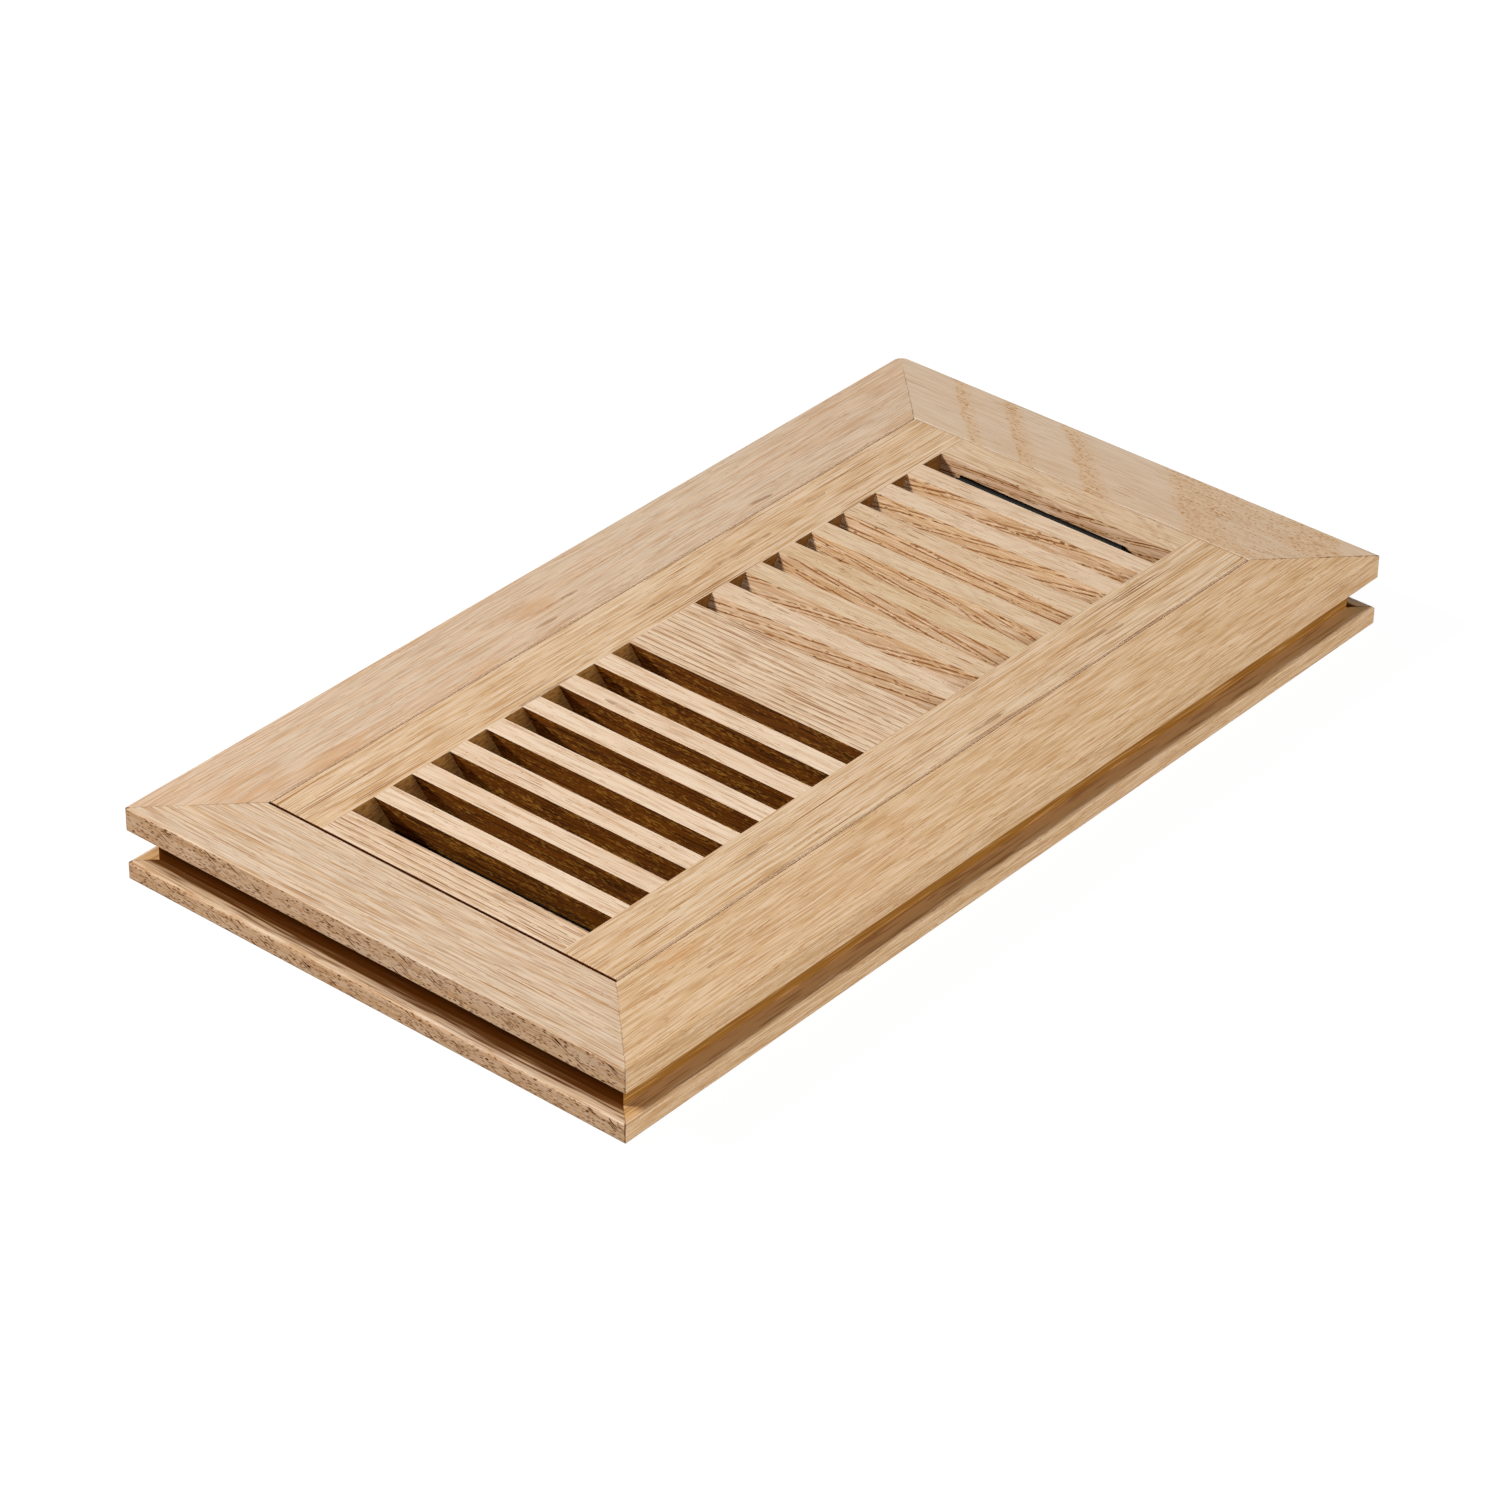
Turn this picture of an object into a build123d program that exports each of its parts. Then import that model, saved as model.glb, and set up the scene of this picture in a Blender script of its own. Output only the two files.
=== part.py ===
"""Flush floor register: grooved oak frame, louvred drop-in insert and sliding damper.

The frame's underside lies on Z = 0, centred on the origin. X runs along the length, from
the near end to the far end, and Y runs from the front board to the back board.
"""
from build123d import *
import math
import os

# Frame: overall size, board section and ledge for the insert
FRAME_LENGTH = 330.2
FRAME_WIDTH = 177.8
FRAME_THICKNESS = 23.2
BOARD_FACE = 27.0
LEDGE_WIDTH = 8.0

# Groove round the frame's outside edge, between an upper and a lower lip
TOP_LIP = 7.4
LOWER_LIP = 6.0
GROOVE_DEPTH = 6.0

# Eased edges, and the one corner of the frame that is worn round
EDGE_EASE = 0.4
LIP_ROUND = 1.2
BASE_EASE = 0.8
CORNER_EASE = 0.5
WORN_CORNER_RADIUS = 4.0

# Louvred insert: depth, play in the frame, and its members
INSERT_DEPTH = 15.0
INSERT_GAP = 0.5
INSERT_SHIFT = 0.25
RAIL_WIDTH = 18.9
END_RAIL_WIDTH = 11.1
CENTRE_BLOCK_WIDTH = 28.2

# Slats: stock thickness, tilt from upright, number in each half, wider slot at the ends
SLAT_THICKNESS = 6.35
SLAT_TILT = 28.0
SLATS_PER_HALF = 7
END_SLOT_EXTRA = 1.2

# Stub ends of the cross pieces, in housings that stop below the rails' top face
STUB_LENGTH = 3.0
STUB_SHOULDER = 3.0
HOUSING_CLEARANCE = 0.1

# Damper: slotted sheet that slides under the slats, with a turned-up finger tab
SHEET = 1.0
SHEET_CLEARANCE = 0.3
PLATE_SIDE_STRIP = 4.3
PLATE_SLOT_OVERLAP = 0.2
PLATE_SLOT_CORNER = 1.0
TAB_BELOW_TOP = 5.2
TAB_BACK_GAP = 3.5
TAB_FRONT_GAP = 11.5
TAB_CORNER = 5.0
TAB_RELIEF = 1.5
BEND_RADIUS = 0.6

# Guides: Z-section strips screwed under the long rails
GUIDE_SHEET = 0.8
GUIDE_FLANGE = 5.8
GUIDE_LIP = 3.0
GUIDE_EDGE_GAP = 0.7
GUIDE_END_GAP = 5.0

# Screws that hold the guides
SCREWS_PER_GUIDE = 3
SCREW_SHANK = 2.6
SCREW_LENGTH = 8.0
SCREW_TIP = 2.0
SCREW_HEAD = 5.0
SCREW_HEAD_HEIGHT = 1.5
SCREW_CROWN_BEVEL = 0.7
SCREW_CLEARANCE = 0.15
SCREW_END_GAP = 20.0

# Levels and half sizes that follow from the sizes above
LEDGE_HEIGHT = FRAME_THICKNESS - INSERT_DEPTH
MITRE_WIDTH = BOARD_FACE + LEDGE_WIDTH
OPENING_HALF_LENGTH = FRAME_LENGTH / 2 - BOARD_FACE
OPENING_HALF_WIDTH = FRAME_WIDTH / 2 - BOARD_FACE
DUCT_HALF_LENGTH = OPENING_HALF_LENGTH - LEDGE_WIDTH
DUCT_HALF_WIDTH = OPENING_HALF_WIDTH - LEDGE_WIDTH
INSERT_HALF_LENGTH = OPENING_HALF_LENGTH - INSERT_GAP
INSERT_HALF_WIDTH = OPENING_HALF_WIDTH - INSERT_GAP
FIELD_HALF_LENGTH = INSERT_HALF_LENGTH - END_RAIL_WIDTH
FIELD_HALF_WIDTH = INSERT_HALF_WIDTH - RAIL_WIDTH

# Louvre spacing: equal slots from the block outwards, the last one a little wider
LEAN = math.tan(math.radians(SLAT_TILT))
SLAT_TOP = SLAT_THICKNESS / math.cos(math.radians(SLAT_TILT))
BLOCK_HALF = CENTRE_BLOCK_WIDTH / 2
SLOT_RUN = FIELD_HALF_LENGTH - BLOCK_HALF - SLATS_PER_HALF * SLAT_TOP - END_SLOT_EXTRA
SLOT_WIDTH = SLOT_RUN / (SLATS_PER_HALF + 1)
SLAT_PITCH = SLAT_TOP + SLOT_WIDTH
BLOCK_FOOT_HALF = BLOCK_HALF - LEAN * INSERT_DEPTH
STUB_TOP = FRAME_THICKNESS - STUB_SHOULDER

# Damper levels and travel: half a pitch shuts every slot
PLATE_TOP = LEDGE_HEIGHT - SHEET_CLEARANCE
PLATE_BOTTOM = PLATE_TOP - SHEET
DAMPER_TRAVEL = SLAT_PITCH / 2
GUIDE_LIP_TOP = PLATE_BOTTOM - SHEET_CLEARANCE
GUIDE_OUTSIDE = DUCT_HALF_WIDTH - GUIDE_EDGE_GAP
GUIDE_WEB_OUTSIDE = GUIDE_OUTSIDE - GUIDE_FLANGE
GUIDE_WEB_INSIDE = GUIDE_WEB_OUTSIDE - GUIDE_SHEET
PLATE_HALF_WIDTH = GUIDE_WEB_INSIDE - SHEET_CLEARANCE
PLATE_NEAR_END = -FIELD_HALF_LENGTH + DAMPER_TRAVEL
PLATE_FAR_END = DUCT_HALF_LENGTH - abs(INSERT_SHIFT) - SHEET_CLEARANCE
TAB_FACE = FIELD_HALF_LENGTH - SHEET_CLEARANCE
SCREW_LINE = GUIDE_WEB_OUTSIDE + GUIDE_FLANGE / 2
GUIDE_HALF_LENGTH = DUCT_HALF_LENGTH - GUIDE_END_GAP


def outline_face(points):
    """Flat face inside a closed run of straight edges, in the XY plane."""
    return make_face(Polyline(*points, close=True))


def rounded_at(face, point, radius):
    """The face with its corner at a point rounded off."""
    corner = face.vertices().sort_by_distance(Vector(*point))[0]
    return fillet(corner, radius)


def board_section():
    """Frame board's section: X runs inwards from the outer face, Y is the height."""
    groove_top = FRAME_THICKNESS - TOP_LIP
    section = outline_face([
        (0, 0),
        (0, LOWER_LIP),
        (GROOVE_DEPTH, LOWER_LIP),
        (GROOVE_DEPTH, groove_top),
        (0, groove_top),
        (0, FRAME_THICKNESS),
        (BOARD_FACE, FRAME_THICKNESS),
        (BOARD_FACE, LEDGE_HEIGHT),
        (MITRE_WIDTH, LEDGE_HEIGHT),
        (MITRE_WIDTH, 0),
    ])
    section = rounded_at(section, (0, 0), BASE_EASE)
    section = rounded_at(section, (0, LOWER_LIP), LIP_ROUND)
    section = rounded_at(section, (0, groove_top), EDGE_EASE)
    section = rounded_at(section, (0, FRAME_THICKNESS), EDGE_EASE)
    return rounded_at(section, (BOARD_FACE, FRAME_THICKNESS), EDGE_EASE)


def mitred_board(length, span):
    """Board along X whose outer face looks to -Y, half a span from the middle."""
    place = Plane(origin=(0, -span / 2, 0), x_dir=(0, 1, 0), z_dir=(1, 0, 0))
    strip = extrude(place * board_section(), length / 2, both=True)
    outside, inside = -span / 2, -span / 2 + MITRE_WIDTH
    plan = outline_face([
        (-length / 2, outside),
        (length / 2, outside),
        (length / 2 - MITRE_WIDTH, inside),
        (-length / 2 + MITRE_WIDTH, inside),
    ])
    return strip & extrude(plan, FRAME_THICKNESS)


def frame_outline():
    """Upright prism of the frame's plan, with the far back corner worn round."""
    half_length, half_width = FRAME_LENGTH / 2, FRAME_WIDTH / 2
    plan = Rectangle(FRAME_LENGTH, FRAME_WIDTH)
    plan = rounded_at(plan, (half_length, half_width), WORN_CORNER_RADIUS)
    for x, y in ((-half_length, half_width), (-half_length, -half_width), (half_length, -half_width)):
        plan = rounded_at(plan, (x, y), CORNER_EASE)
    return extrude(plan, FRAME_THICKNESS)


def frame_boards():
    """The four mitred boards, by name."""
    outline = frame_outline()
    long_board = mitred_board(FRAME_LENGTH, FRAME_WIDTH)
    short_board = mitred_board(FRAME_WIDTH, FRAME_LENGTH)
    return {
        "front_board": long_board & outline,
        "back_board": Rot(0, 0, 180) * long_board & outline,
        "far_end_board": Rot(0, 0, 90) * short_board & outline,
        "near_end_board": Rot(0, 0, -90) * short_board & outline,
    }


def cross_section(left, right, low, high, grow=0.0):
    """Section of a cross piece in X and Z; each side is its X at the top and its lean."""
    def side_x(side, z):
        top_x, lean = side
        return top_x + lean * (FRAME_THICKNESS - z)

    face = outline_face([
        (side_x(left, low) - grow, low),
        (side_x(right, low) + grow, low),
        (side_x(right, high) + grow, high),
        (side_x(left, high) - grow, high),
    ])
    return Plane.XZ * face


def cross_piece(left, right):
    """Piece between the rails, with a stub at each end that stops below the top face."""
    body = cross_section(left, right, LEDGE_HEIGHT, FRAME_THICKNESS)
    stub = cross_section(left, right, LEDGE_HEIGHT, STUB_TOP)
    between = extrude(body, FIELD_HALF_WIDTH, both=True)
    return between + extrude(stub, FIELD_HALF_WIDTH + STUB_LENGTH, both=True)


def housing(left, right):
    """Room for a cross piece's stubs in both rails, open at the rails' underside."""
    below = LEDGE_HEIGHT - STUB_SHOULDER
    room = cross_section(left, right, below, STUB_TOP + HOUSING_CLEARANCE, HOUSING_CLEARANCE)
    return extrude(room, FIELD_HALF_WIDTH + STUB_LENGTH + HOUSING_CLEARANCE, both=True)


def cross_piece_sides():
    """Left and right side of every cross piece between the rails, by name."""
    sides = {
        "near_end_rail": ((-INSERT_HALF_LENGTH, 0), (-FIELD_HALF_LENGTH, 0)),
        "far_end_rail": ((FIELD_HALF_LENGTH, 0), (INSERT_HALF_LENGTH, 0)),
        "centre_block": ((-BLOCK_HALF, LEAN), (BLOCK_HALF, -LEAN)),
    }
    for index in range(SLATS_PER_HALF):
        inner = BLOCK_HALF + SLOT_WIDTH + index * SLAT_PITCH
        outer = inner + SLAT_TOP
        sides[f"slat_near_{index + 1}"] = ((-outer, LEAN), (-inner, LEAN))
        sides[f"slat_far_{index + 1}"] = ((inner, -LEAN), (outer, -LEAN))
    return sides


def eased_end_rail(rail, outward):
    """End rail with its outer top edge eased."""
    edge = rail.edges().sort_by_distance((outward * INSERT_HALF_LENGTH, 0, FRAME_THICKNESS))[0]
    return fillet(edge, EDGE_EASE)


def long_rail(outward):
    """Plain rail of the insert on the front (-1) or back (+1) side, outer top edges eased."""
    middle_y = outward * (FIELD_HALF_WIDTH + RAIL_WIDTH / 2)
    middle_z = LEDGE_HEIGHT + INSERT_DEPTH / 2
    rail = Pos(0, middle_y, middle_z) * Box(2 * INSERT_HALF_LENGTH, RAIL_WIDTH, INSERT_DEPTH)
    outside = rail.edges().sort_by_distance((0, outward * INSERT_HALF_WIDTH, FRAME_THICKNESS))[0]
    ends = [
        rail.edges().sort_by_distance((end * INSERT_HALF_LENGTH, middle_y, FRAME_THICKNESS))[0]
        for end in (-1, 1)
    ]
    return fillet([outside, *ends], EDGE_EASE)


def screw_stations():
    """X of the screws along one guide."""
    reach = GUIDE_HALF_LENGTH - SCREW_END_GAP
    step = 2 * reach / (SCREWS_PER_GUIDE - 1)
    return [-reach + index * step for index in range(SCREWS_PER_GUIDE)]


def screw_places():
    """X and Y of every guide screw."""
    return [(x, outward * SCREW_LINE) for outward in (-1, 1) for x in screw_stations()]


def upright_pin(place, radius, low, high):
    """Round pin along Z at an X and Y place."""
    x, y = place
    return Pos(x, y, (low + high) / 2) * Cylinder(radius, high - low)


def insert_pieces():
    """Rails, end rails, centre block and slats, by name."""
    sides = cross_piece_sides()
    pieces = {name: cross_piece(*pair) for name, pair in sides.items()}
    pieces["near_end_rail"] = eased_end_rail(pieces["near_end_rail"], -1)
    pieces["far_end_rail"] = eased_end_rail(pieces["far_end_rail"], 1)
    rooms = [housing(*pair) for pair in sides.values()]
    pilot_radius = SCREW_SHANK / 2 + SCREW_CLEARANCE
    pilot_top = LEDGE_HEIGHT + SCREW_LENGTH + SCREW_CLEARANCE
    pilots = [upright_pin(place, pilot_radius, PLATE_TOP, pilot_top) for place in screw_places()]
    for name, outward in (("front_rail", -1), ("back_rail", 1)):
        pieces[name] = long_rail(outward) - rooms - pilots
    return pieces


def plate_slot_centres():
    """X of the plate's slots: open slots at rest lie under the gaps between the slats."""
    first = BLOCK_FOOT_HALF + SLOT_WIDTH / 2
    far_half = [first + index * SLAT_PITCH for index in range(SLATS_PER_HALF + 1)]
    near_half = [-x for x in far_half[:-1]]
    return near_half + far_half


def span_rectangle(x_low, x_high, y_low, y_high):
    """Rectangle given by its limits."""
    middle = Pos((x_low + x_high) / 2, (y_low + y_high) / 2)
    return middle * Rectangle(x_high - x_low, y_high - y_low)


def damper_plate():
    """Slotted sheet with a finger tab turned up at its far end."""
    tab_front, tab_back = -FIELD_HALF_WIDTH + TAB_FRONT_GAP, FIELD_HALF_WIDTH - TAB_BACK_GAP
    fold = TAB_FACE - SHEET - TAB_RELIEF
    blank = span_rectangle(PLATE_NEAR_END, PLATE_FAR_END, -PLATE_HALF_WIDTH, PLATE_HALF_WIDTH)
    blank -= span_rectangle(fold, PLATE_FAR_END, tab_front - TAB_RELIEF, tab_back + TAB_RELIEF)
    blank += span_rectangle(fold, TAB_FACE, tab_front, tab_back)
    slot_width = SLOT_WIDTH - 2 * PLATE_SLOT_OVERLAP
    slot_length = 2 * (PLATE_HALF_WIDTH - PLATE_SIDE_STRIP)
    slot = RectangleRounded(slot_width, slot_length, PLATE_SLOT_CORNER)
    blank -= [Pos(x, 0) * slot for x in plate_slot_centres()]
    plate = Pos(0, 0, PLATE_BOTTOM) * extrude(blank, SHEET)

    tab_top = FRAME_THICKNESS - TAB_BELOW_TOP
    upright = span_rectangle(tab_front, tab_back, PLATE_BOTTOM, tab_top)
    upright = rounded_at(upright, (tab_front, tab_top), TAB_CORNER)
    upright = rounded_at(upright, (tab_back, tab_top), TAB_CORNER)
    inner_face = Plane(origin=(TAB_FACE - SHEET, 0, 0), x_dir=(0, 1, 0), z_dir=(1, 0, 0))
    plate += extrude(inner_face * upright, SHEET)

    middle = (tab_front + tab_back) / 2
    crease = plate.edges().sort_by_distance((TAB_FACE - SHEET, middle, PLATE_TOP))[0]
    plate = fillet(crease, BEND_RADIUS)
    heel = plate.edges().sort_by_distance((TAB_FACE, middle, PLATE_BOTTOM))[0]
    return fillet(heel, BEND_RADIUS + SHEET)


def damper_guide(outward):
    """Z-section strip under a rail: flange on the wood, web, and a lip under the plate."""
    lip_bottom = GUIDE_LIP_TOP - GUIDE_SHEET
    flange_bottom = LEDGE_HEIGHT - GUIDE_SHEET
    lip_edge = GUIDE_WEB_INSIDE - GUIDE_LIP
    section = outline_face([
        (lip_edge, lip_bottom),
        (GUIDE_WEB_OUTSIDE, lip_bottom),
        (GUIDE_WEB_OUTSIDE, flange_bottom),
        (GUIDE_OUTSIDE, flange_bottom),
        (GUIDE_OUTSIDE, LEDGE_HEIGHT),
        (GUIDE_WEB_INSIDE, LEDGE_HEIGHT),
        (GUIDE_WEB_INSIDE, GUIDE_LIP_TOP),
        (lip_edge, GUIDE_LIP_TOP),
    ])
    strip = extrude(Plane.YZ * section, GUIDE_HALF_LENGTH, both=True)
    hole_radius = SCREW_SHANK / 2 + SCREW_CLEARANCE
    for x in screw_stations():
        strip -= upright_pin((x, SCREW_LINE), hole_radius, lip_bottom, LEDGE_HEIGHT)
    return strip if outward > 0 else Rot(0, 0, 180) * strip


def guide_screw(place):
    """Pan-head screw, driven upwards through a guide into a rail."""
    x, y = place
    seat = LEDGE_HEIGHT - GUIDE_SHEET
    shank_top = LEDGE_HEIGHT + SCREW_LENGTH - SCREW_TIP
    shank_radius, head_radius = SCREW_SHANK / 2, SCREW_HEAD / 2
    crown = seat - SCREW_HEAD_HEIGHT
    half_outline = outline_face([
        (0, crown),
        (head_radius - SCREW_CROWN_BEVEL, crown),
        (head_radius, crown + SCREW_CROWN_BEVEL),
        (head_radius, seat),
        (shank_radius, seat),
        (shank_radius, shank_top),
        (0, shank_top + SCREW_TIP),
    ])
    return Pos(x, y, 0) * revolve(Plane.XZ * half_outline, Axis.Z)


def register_pieces():
    """Every piece of the register, by name, where it belongs."""
    dropped_in = insert_pieces()
    dropped_in["damper_plate"] = damper_plate()
    dropped_in["damper_guide_front"] = damper_guide(-1)
    dropped_in["damper_guide_back"] = damper_guide(1)
    dropped_in["guide_screws"] = Part() + [guide_screw(place) for place in screw_places()]
    seated = {name: Pos(INSERT_SHIFT, 0, 0) * piece for name, piece in dropped_in.items()}
    return {**frame_boards(), **seated}


def main():
    os.makedirs("parts", exist_ok=True)
    for name, piece in register_pieces().items():
        export_step(piece, f"parts/{name}.step")


main()
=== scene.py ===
"""Finishes a flush oak floor register: sawn oak, damper steel, screws and a studio.

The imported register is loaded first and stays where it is. The oak's marks are measured in
millimetres along each piece's grain, from the middle of its top.
"""
import math
from dataclasses import dataclass, replace

import bmesh
import bpy
from bpy.props import FloatProperty, FloatVectorProperty, PointerProperty
from mathutils import Euler, Matrix, Vector


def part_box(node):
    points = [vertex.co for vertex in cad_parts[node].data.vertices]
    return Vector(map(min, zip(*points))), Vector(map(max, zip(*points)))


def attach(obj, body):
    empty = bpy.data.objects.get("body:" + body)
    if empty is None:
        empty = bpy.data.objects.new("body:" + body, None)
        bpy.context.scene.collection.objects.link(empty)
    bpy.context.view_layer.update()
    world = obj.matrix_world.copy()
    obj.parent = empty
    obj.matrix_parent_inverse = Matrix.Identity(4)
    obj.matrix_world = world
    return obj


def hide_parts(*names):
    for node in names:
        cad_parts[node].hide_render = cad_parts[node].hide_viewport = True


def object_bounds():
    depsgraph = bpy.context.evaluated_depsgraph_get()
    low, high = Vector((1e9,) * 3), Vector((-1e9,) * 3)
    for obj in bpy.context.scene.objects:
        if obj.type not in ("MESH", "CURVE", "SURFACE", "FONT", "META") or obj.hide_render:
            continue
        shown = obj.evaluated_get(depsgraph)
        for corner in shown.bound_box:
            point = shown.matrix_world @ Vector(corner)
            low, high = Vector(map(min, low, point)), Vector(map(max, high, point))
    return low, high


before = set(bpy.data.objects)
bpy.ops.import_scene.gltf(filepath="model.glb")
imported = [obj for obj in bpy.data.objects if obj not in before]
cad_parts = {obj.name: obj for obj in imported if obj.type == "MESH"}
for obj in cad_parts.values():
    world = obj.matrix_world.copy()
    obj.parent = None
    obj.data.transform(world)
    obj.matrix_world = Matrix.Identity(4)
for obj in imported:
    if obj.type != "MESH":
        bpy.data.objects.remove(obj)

bl_info = {
    "name": "Oak Floor Register",
    "version": (1, 0, 0),
    "blender": (4, 5, 0),
    "location": "View3D > Sidebar > Register",
    "description": "Finishes the floor register's oak and steel and sets up a studio",
    "category": "Object",
}

CAD_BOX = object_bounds()
MILLIMETRE = 0.001
TO_MILLIMETRES = (1 / MILLIMETRE,) * 3
HALF_LENGTH = CAD_BOX[1].x / MILLIMETRE
HALF_WIDTH = CAD_BOX[1].y / MILLIMETRE
TOP_FACE = CAD_BOX[1].z / MILLIMETRE

# The frame's edge groove: heights of its lower and upper wall, and its depth
GROOVE_LOW = 6.0
GROOVE_TOP = 15.8
GROOVE_DEPTH = 6.0

# Width of the frame boards' top faces, and how far in the gap round the insert lies
FRAME_FACE = 27.0
INSERT_GAP = (FRAME_FACE - 0.1, FRAME_FACE + 0.9)

# The slats: their lean from upright in degrees, away from the block
SLAT_TILT = 28.0
SLAT_THICKNESS = 6.35
SLATS_PER_HALF = 7


def tone(red, green, blue):
    """Scene colour of a tone that is written in the screen's 0 to 255 numbers."""
    def straight(value):
        share = value / 255
        return share / 12.92 if share <= 0.04045 else ((share + 0.055) / 1.055) ** 2.4

    return straight(red), straight(green), straight(blue)


def colour_property(name, description, default):
    return FloatVectorProperty(
        name=name, description=description, default=default, subtype="COLOR", min=0.0, max=1.0
    )


def place_property(name, description, default):
    return FloatVectorProperty(
        name=name, description=description, default=default, subtype="TRANSLATION", unit="LENGTH"
    )


def share_property(name, description, default):
    return FloatProperty(name=name, description=description, default=default, min=0.0)


def size_property(name, description, millimetres):
    return FloatProperty(
        name=name, description=description, default=millimetres * MILLIMETRE,
        min=0.0, precision=5, unit="LENGTH",
    )


class OakTones(bpy.types.PropertyGroup):
    """Colours of the unfinished oak, and of the painted shade and highlights on it."""
    cream: colour_property("Cream", "Palest planed oak, on the near slats", tone(233, 208, 181))
    beige: colour_property("Beige", "Pale oak of the block and near end rail", tone(225, 199, 170))
    tan: colour_property("Tan", "Oak of the rails and some slats", tone(218, 191, 158))
    peach: colour_property("Peach", "Warm even oak of the front board", tone(212, 178, 138))
    drab: colour_property("Drab", "Greyish oak of all boards but the front", tone(209, 186, 161))
    olive: colour_property("Olive", "Greenish tan of one slat", tone(214, 186, 148))
    honey: colour_property("Honey", "Ochre of streaks and early wood", tone(204, 160, 106))
    rose: colour_property("Rose", "Pinkish brown of late wood and an end rail", tone(212, 172, 138))
    amber: colour_property("Amber", "Orange brown of warm patches", tone(202, 148, 94))
    line: colour_property("Line", "Brown of the finest lines", tone(172, 120, 68))
    dark_line: colour_property("Dark line", "Brown of the hairlines", tone(122, 68, 20))
    pore: colour_property("Pore", "Dark brown of open pores", tone(70, 26, 0))
    sawn: colour_property("Sawn", "Brown of sawn slats and end grooves", tone(195, 162, 129))
    # The next two tones are painted shade: the first on the far slots' end walls, the second in the
    # grooves and on the near slots' end walls
    cut: colour_property("Cut", "Dark ochre of the far slots' ends", tone(112, 68, 16))
    painted_recess_shade: colour_property("Burnt", "Brown of grooves and near slots' ends", tone(148, 102, 46))
    # The next two tones are painted light and shade: the first is painted shade on walls that lean
    # over the slots, the second painted golden highlights on them
    under: colour_property("Under", "Brown of the slats' undersides", tone(150, 84, 10))
    painted_glint_gold: colour_property("Gold", "Glints on the slats' undersides", tone(244, 178, 70))


class GrainSizes(bpy.types.PropertyGroup):
    """Lengths and widths of the marks in the oak."""
    streak_length: size_property("Streak length", "Length of the broad streaks", 160.0)
    streak_width: size_property("Streak width", "Width of the broad streaks", 3.4)
    fibre_length: size_property("Fibre length", "Length of the faintest lines", 14.0)
    fibre_width: size_property("Fibre width", "Width of the faintest lines", 0.4)
    tick_length: size_property("Tick length", "Length of the short fine dashes", 3.0)
    tick_width: size_property("Tick width", "Width of the short fine dashes", 0.36)
    pore_length: size_property("Pore length", "Length of an open pore", 1.5)
    pore_width: size_property("Pore width", "Width of an open pore", 0.45)
    saw_length: size_property("Saw mark length", "Length of the slanting saw marks", 4.0)
    saw_width: size_property("Saw mark width", "Width of the slanting saw marks", 0.38)
    relief: size_property("Relief", "Depth of the furrows between fibres", 0.05)


class DamperSizes(bpy.types.PropertyGroup):
    """Screws under the rails and the folded edge of the finger tab."""
    head_radius: size_property("Head radius", "Radius of a screw's pan head", 2.5)
    head_height: size_property("Head height", "Height of a screw's pan head", 1.5)
    crown: size_property("Crown", "Rounding of a screw's head", 0.7)
    shank_radius: size_property("Shank radius", "Radius of a screw's shank", 1.3)
    tip_length: size_property("Tip length", "Length of a screw's point", 2.0)
    recess_length: size_property("Recess length", "Length of each arm of the cross recess", 2.9)
    recess_width: size_property("Recess width", "Width of each arm of the cross recess", 0.7)
    recess_depth: size_property("Recess depth", "Depth of the cross recess", 0.9)
    sheet: size_property("Sheet", "Thickness of the damper's sheet steel", 1.0)
    hem_height: size_property("Hem height", "Height of the tab's folded edge below its top", 4.0)


class StudioSettings(bpy.types.PropertyGroup):
    """Camera and lights."""
    camera_place: place_property(
        "Camera place", "Where the camera stands", (-0.97116, -0.79414, 0.82419)
    )
    camera_target: place_property(
        "Camera target", "Point in the middle of the picture", (-0.033375, -0.018285, 0.0232)
    )
    camera_roll: FloatProperty(
        name="Camera roll", description="Turn of the camera about its own line of sight",
        default=math.radians(1.001), subtype="ANGLE",
    )
    camera_lens: FloatProperty(
        name="Camera lens", description="Focal length on a 36 mm sensor, in millimetres",
        default=128.61,
    )
    ambient: share_property("Ambient", "Light from all round", 0.1)
    underlight: share_property("Underlight", "Light from below", 0.2)
    key: share_property("Key", "Share of light from the back lamp", 1.17)
    fill: share_property("Fill", "Share of light from the front lamp", 1.0)


class Wire:
    """A socket in a node tree; arithmetic on values adds Math nodes."""

    def __init__(self, tree, socket=None):
        self.tree = tree
        self.socket = socket

    def node(self, kind, settings=None, inputs=None, output=0):
        """Adds a node: its settings first, then its inputs as values or wires."""
        made = self.tree.nodes.new("ShaderNode" + kind)
        for name, value in (settings or {}).items():
            setattr(made, name, value)
        for key, value in (inputs or {}).items():
            if isinstance(value, Wire):
                self.tree.links.new(value.socket, made.inputs[key])
            else:
                made.inputs[key].default_value = value
        return Wire(self.tree, made.outputs[output] if made.outputs else None)

    def beside(self, output):
        """Another output of the same node."""
        return Wire(self.tree, self.socket.node.outputs[output])

    def math(self, operation, *values):
        return self.node("Math", {"operation": operation}, dict(enumerate(values)))

    def vector(self, operation, *values, output=0):
        return self.node("VectorMath", {"operation": operation}, dict(enumerate(values)), output)

    def __add__(self, other):
        return self.math("ADD", self, other)

    def __sub__(self, other):
        return self.math("SUBTRACT", self, other)

    def __rsub__(self, other):
        return self.math("SUBTRACT", other, self)

    def __mul__(self, other):
        return self.math("MULTIPLY", self, other)

    def __truediv__(self, other):
        return self.math("DIVIDE", self, other)

    def __neg__(self):
        return self.math("MULTIPLY", self, -1.0)

    def __abs__(self):
        return self.math("ABSOLUTE", self)

    __radd__ = __add__
    __rmul__ = __mul__


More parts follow.
